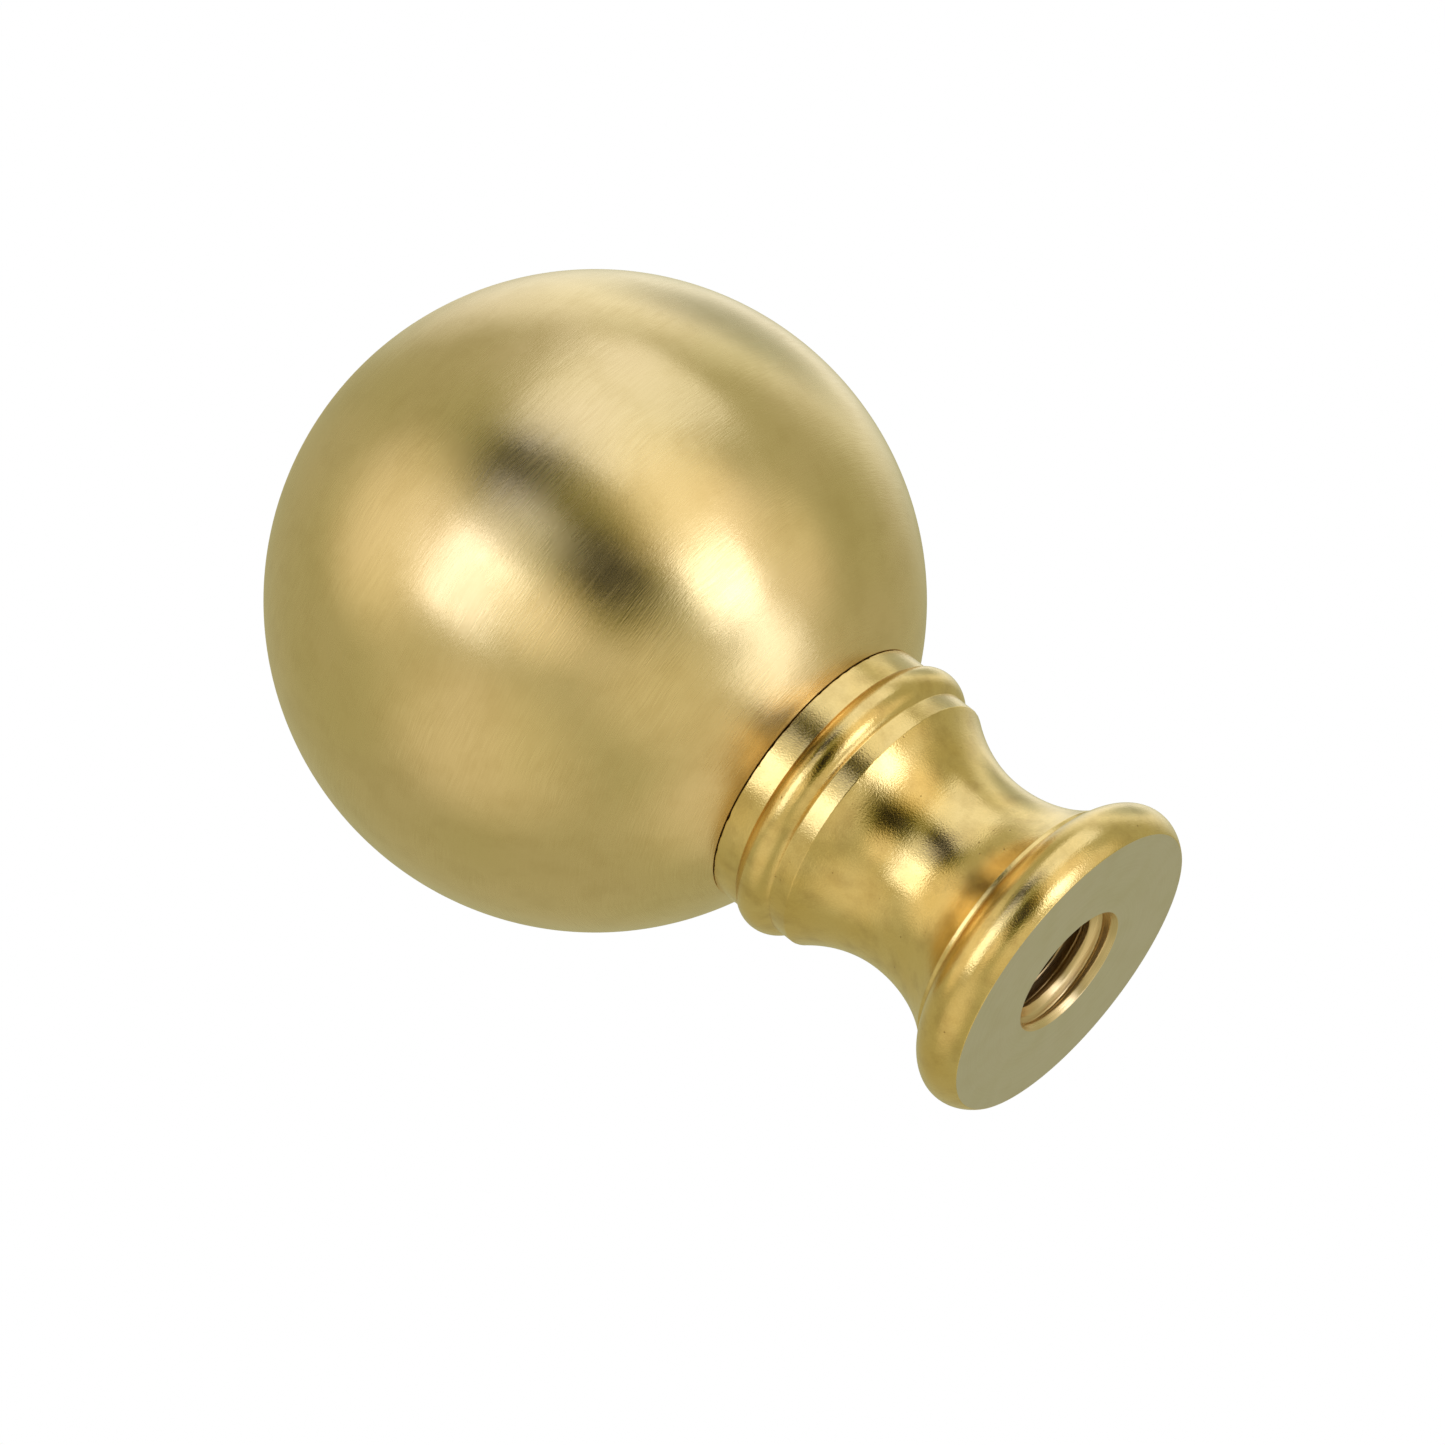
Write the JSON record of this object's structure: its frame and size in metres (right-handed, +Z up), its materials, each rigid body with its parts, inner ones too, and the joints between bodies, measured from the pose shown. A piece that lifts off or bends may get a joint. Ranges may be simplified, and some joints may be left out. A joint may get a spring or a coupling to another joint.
{
  "type": "lamp shade finial",
  "caption": "Brass lamp shade finial: a satin ball on a waisted turned base with a bead, a rounded foot and a tapped blind hole underneath.",
  "frame": {"origin": "centre of the base's flat underside, at the mouth of the tapped hole", "axes": "+Z up along the centre line, from the foot to the ball; X and Y are alike, because every form is turned"},
  "size_m": [0.03, 0.03, 0.0437],
  "materials": {
    "satin_brass": "solid brass, satin brushed around the centre line, unlacquered",
    "turned_brass": "solid brass, turned and lightly polished, with a matt faced underside and a tapped hole"
  },
  "bodies": {
    "root": {"ball": "satin_brass", "base": "turned_brass"}
  },
  "joints": []
}
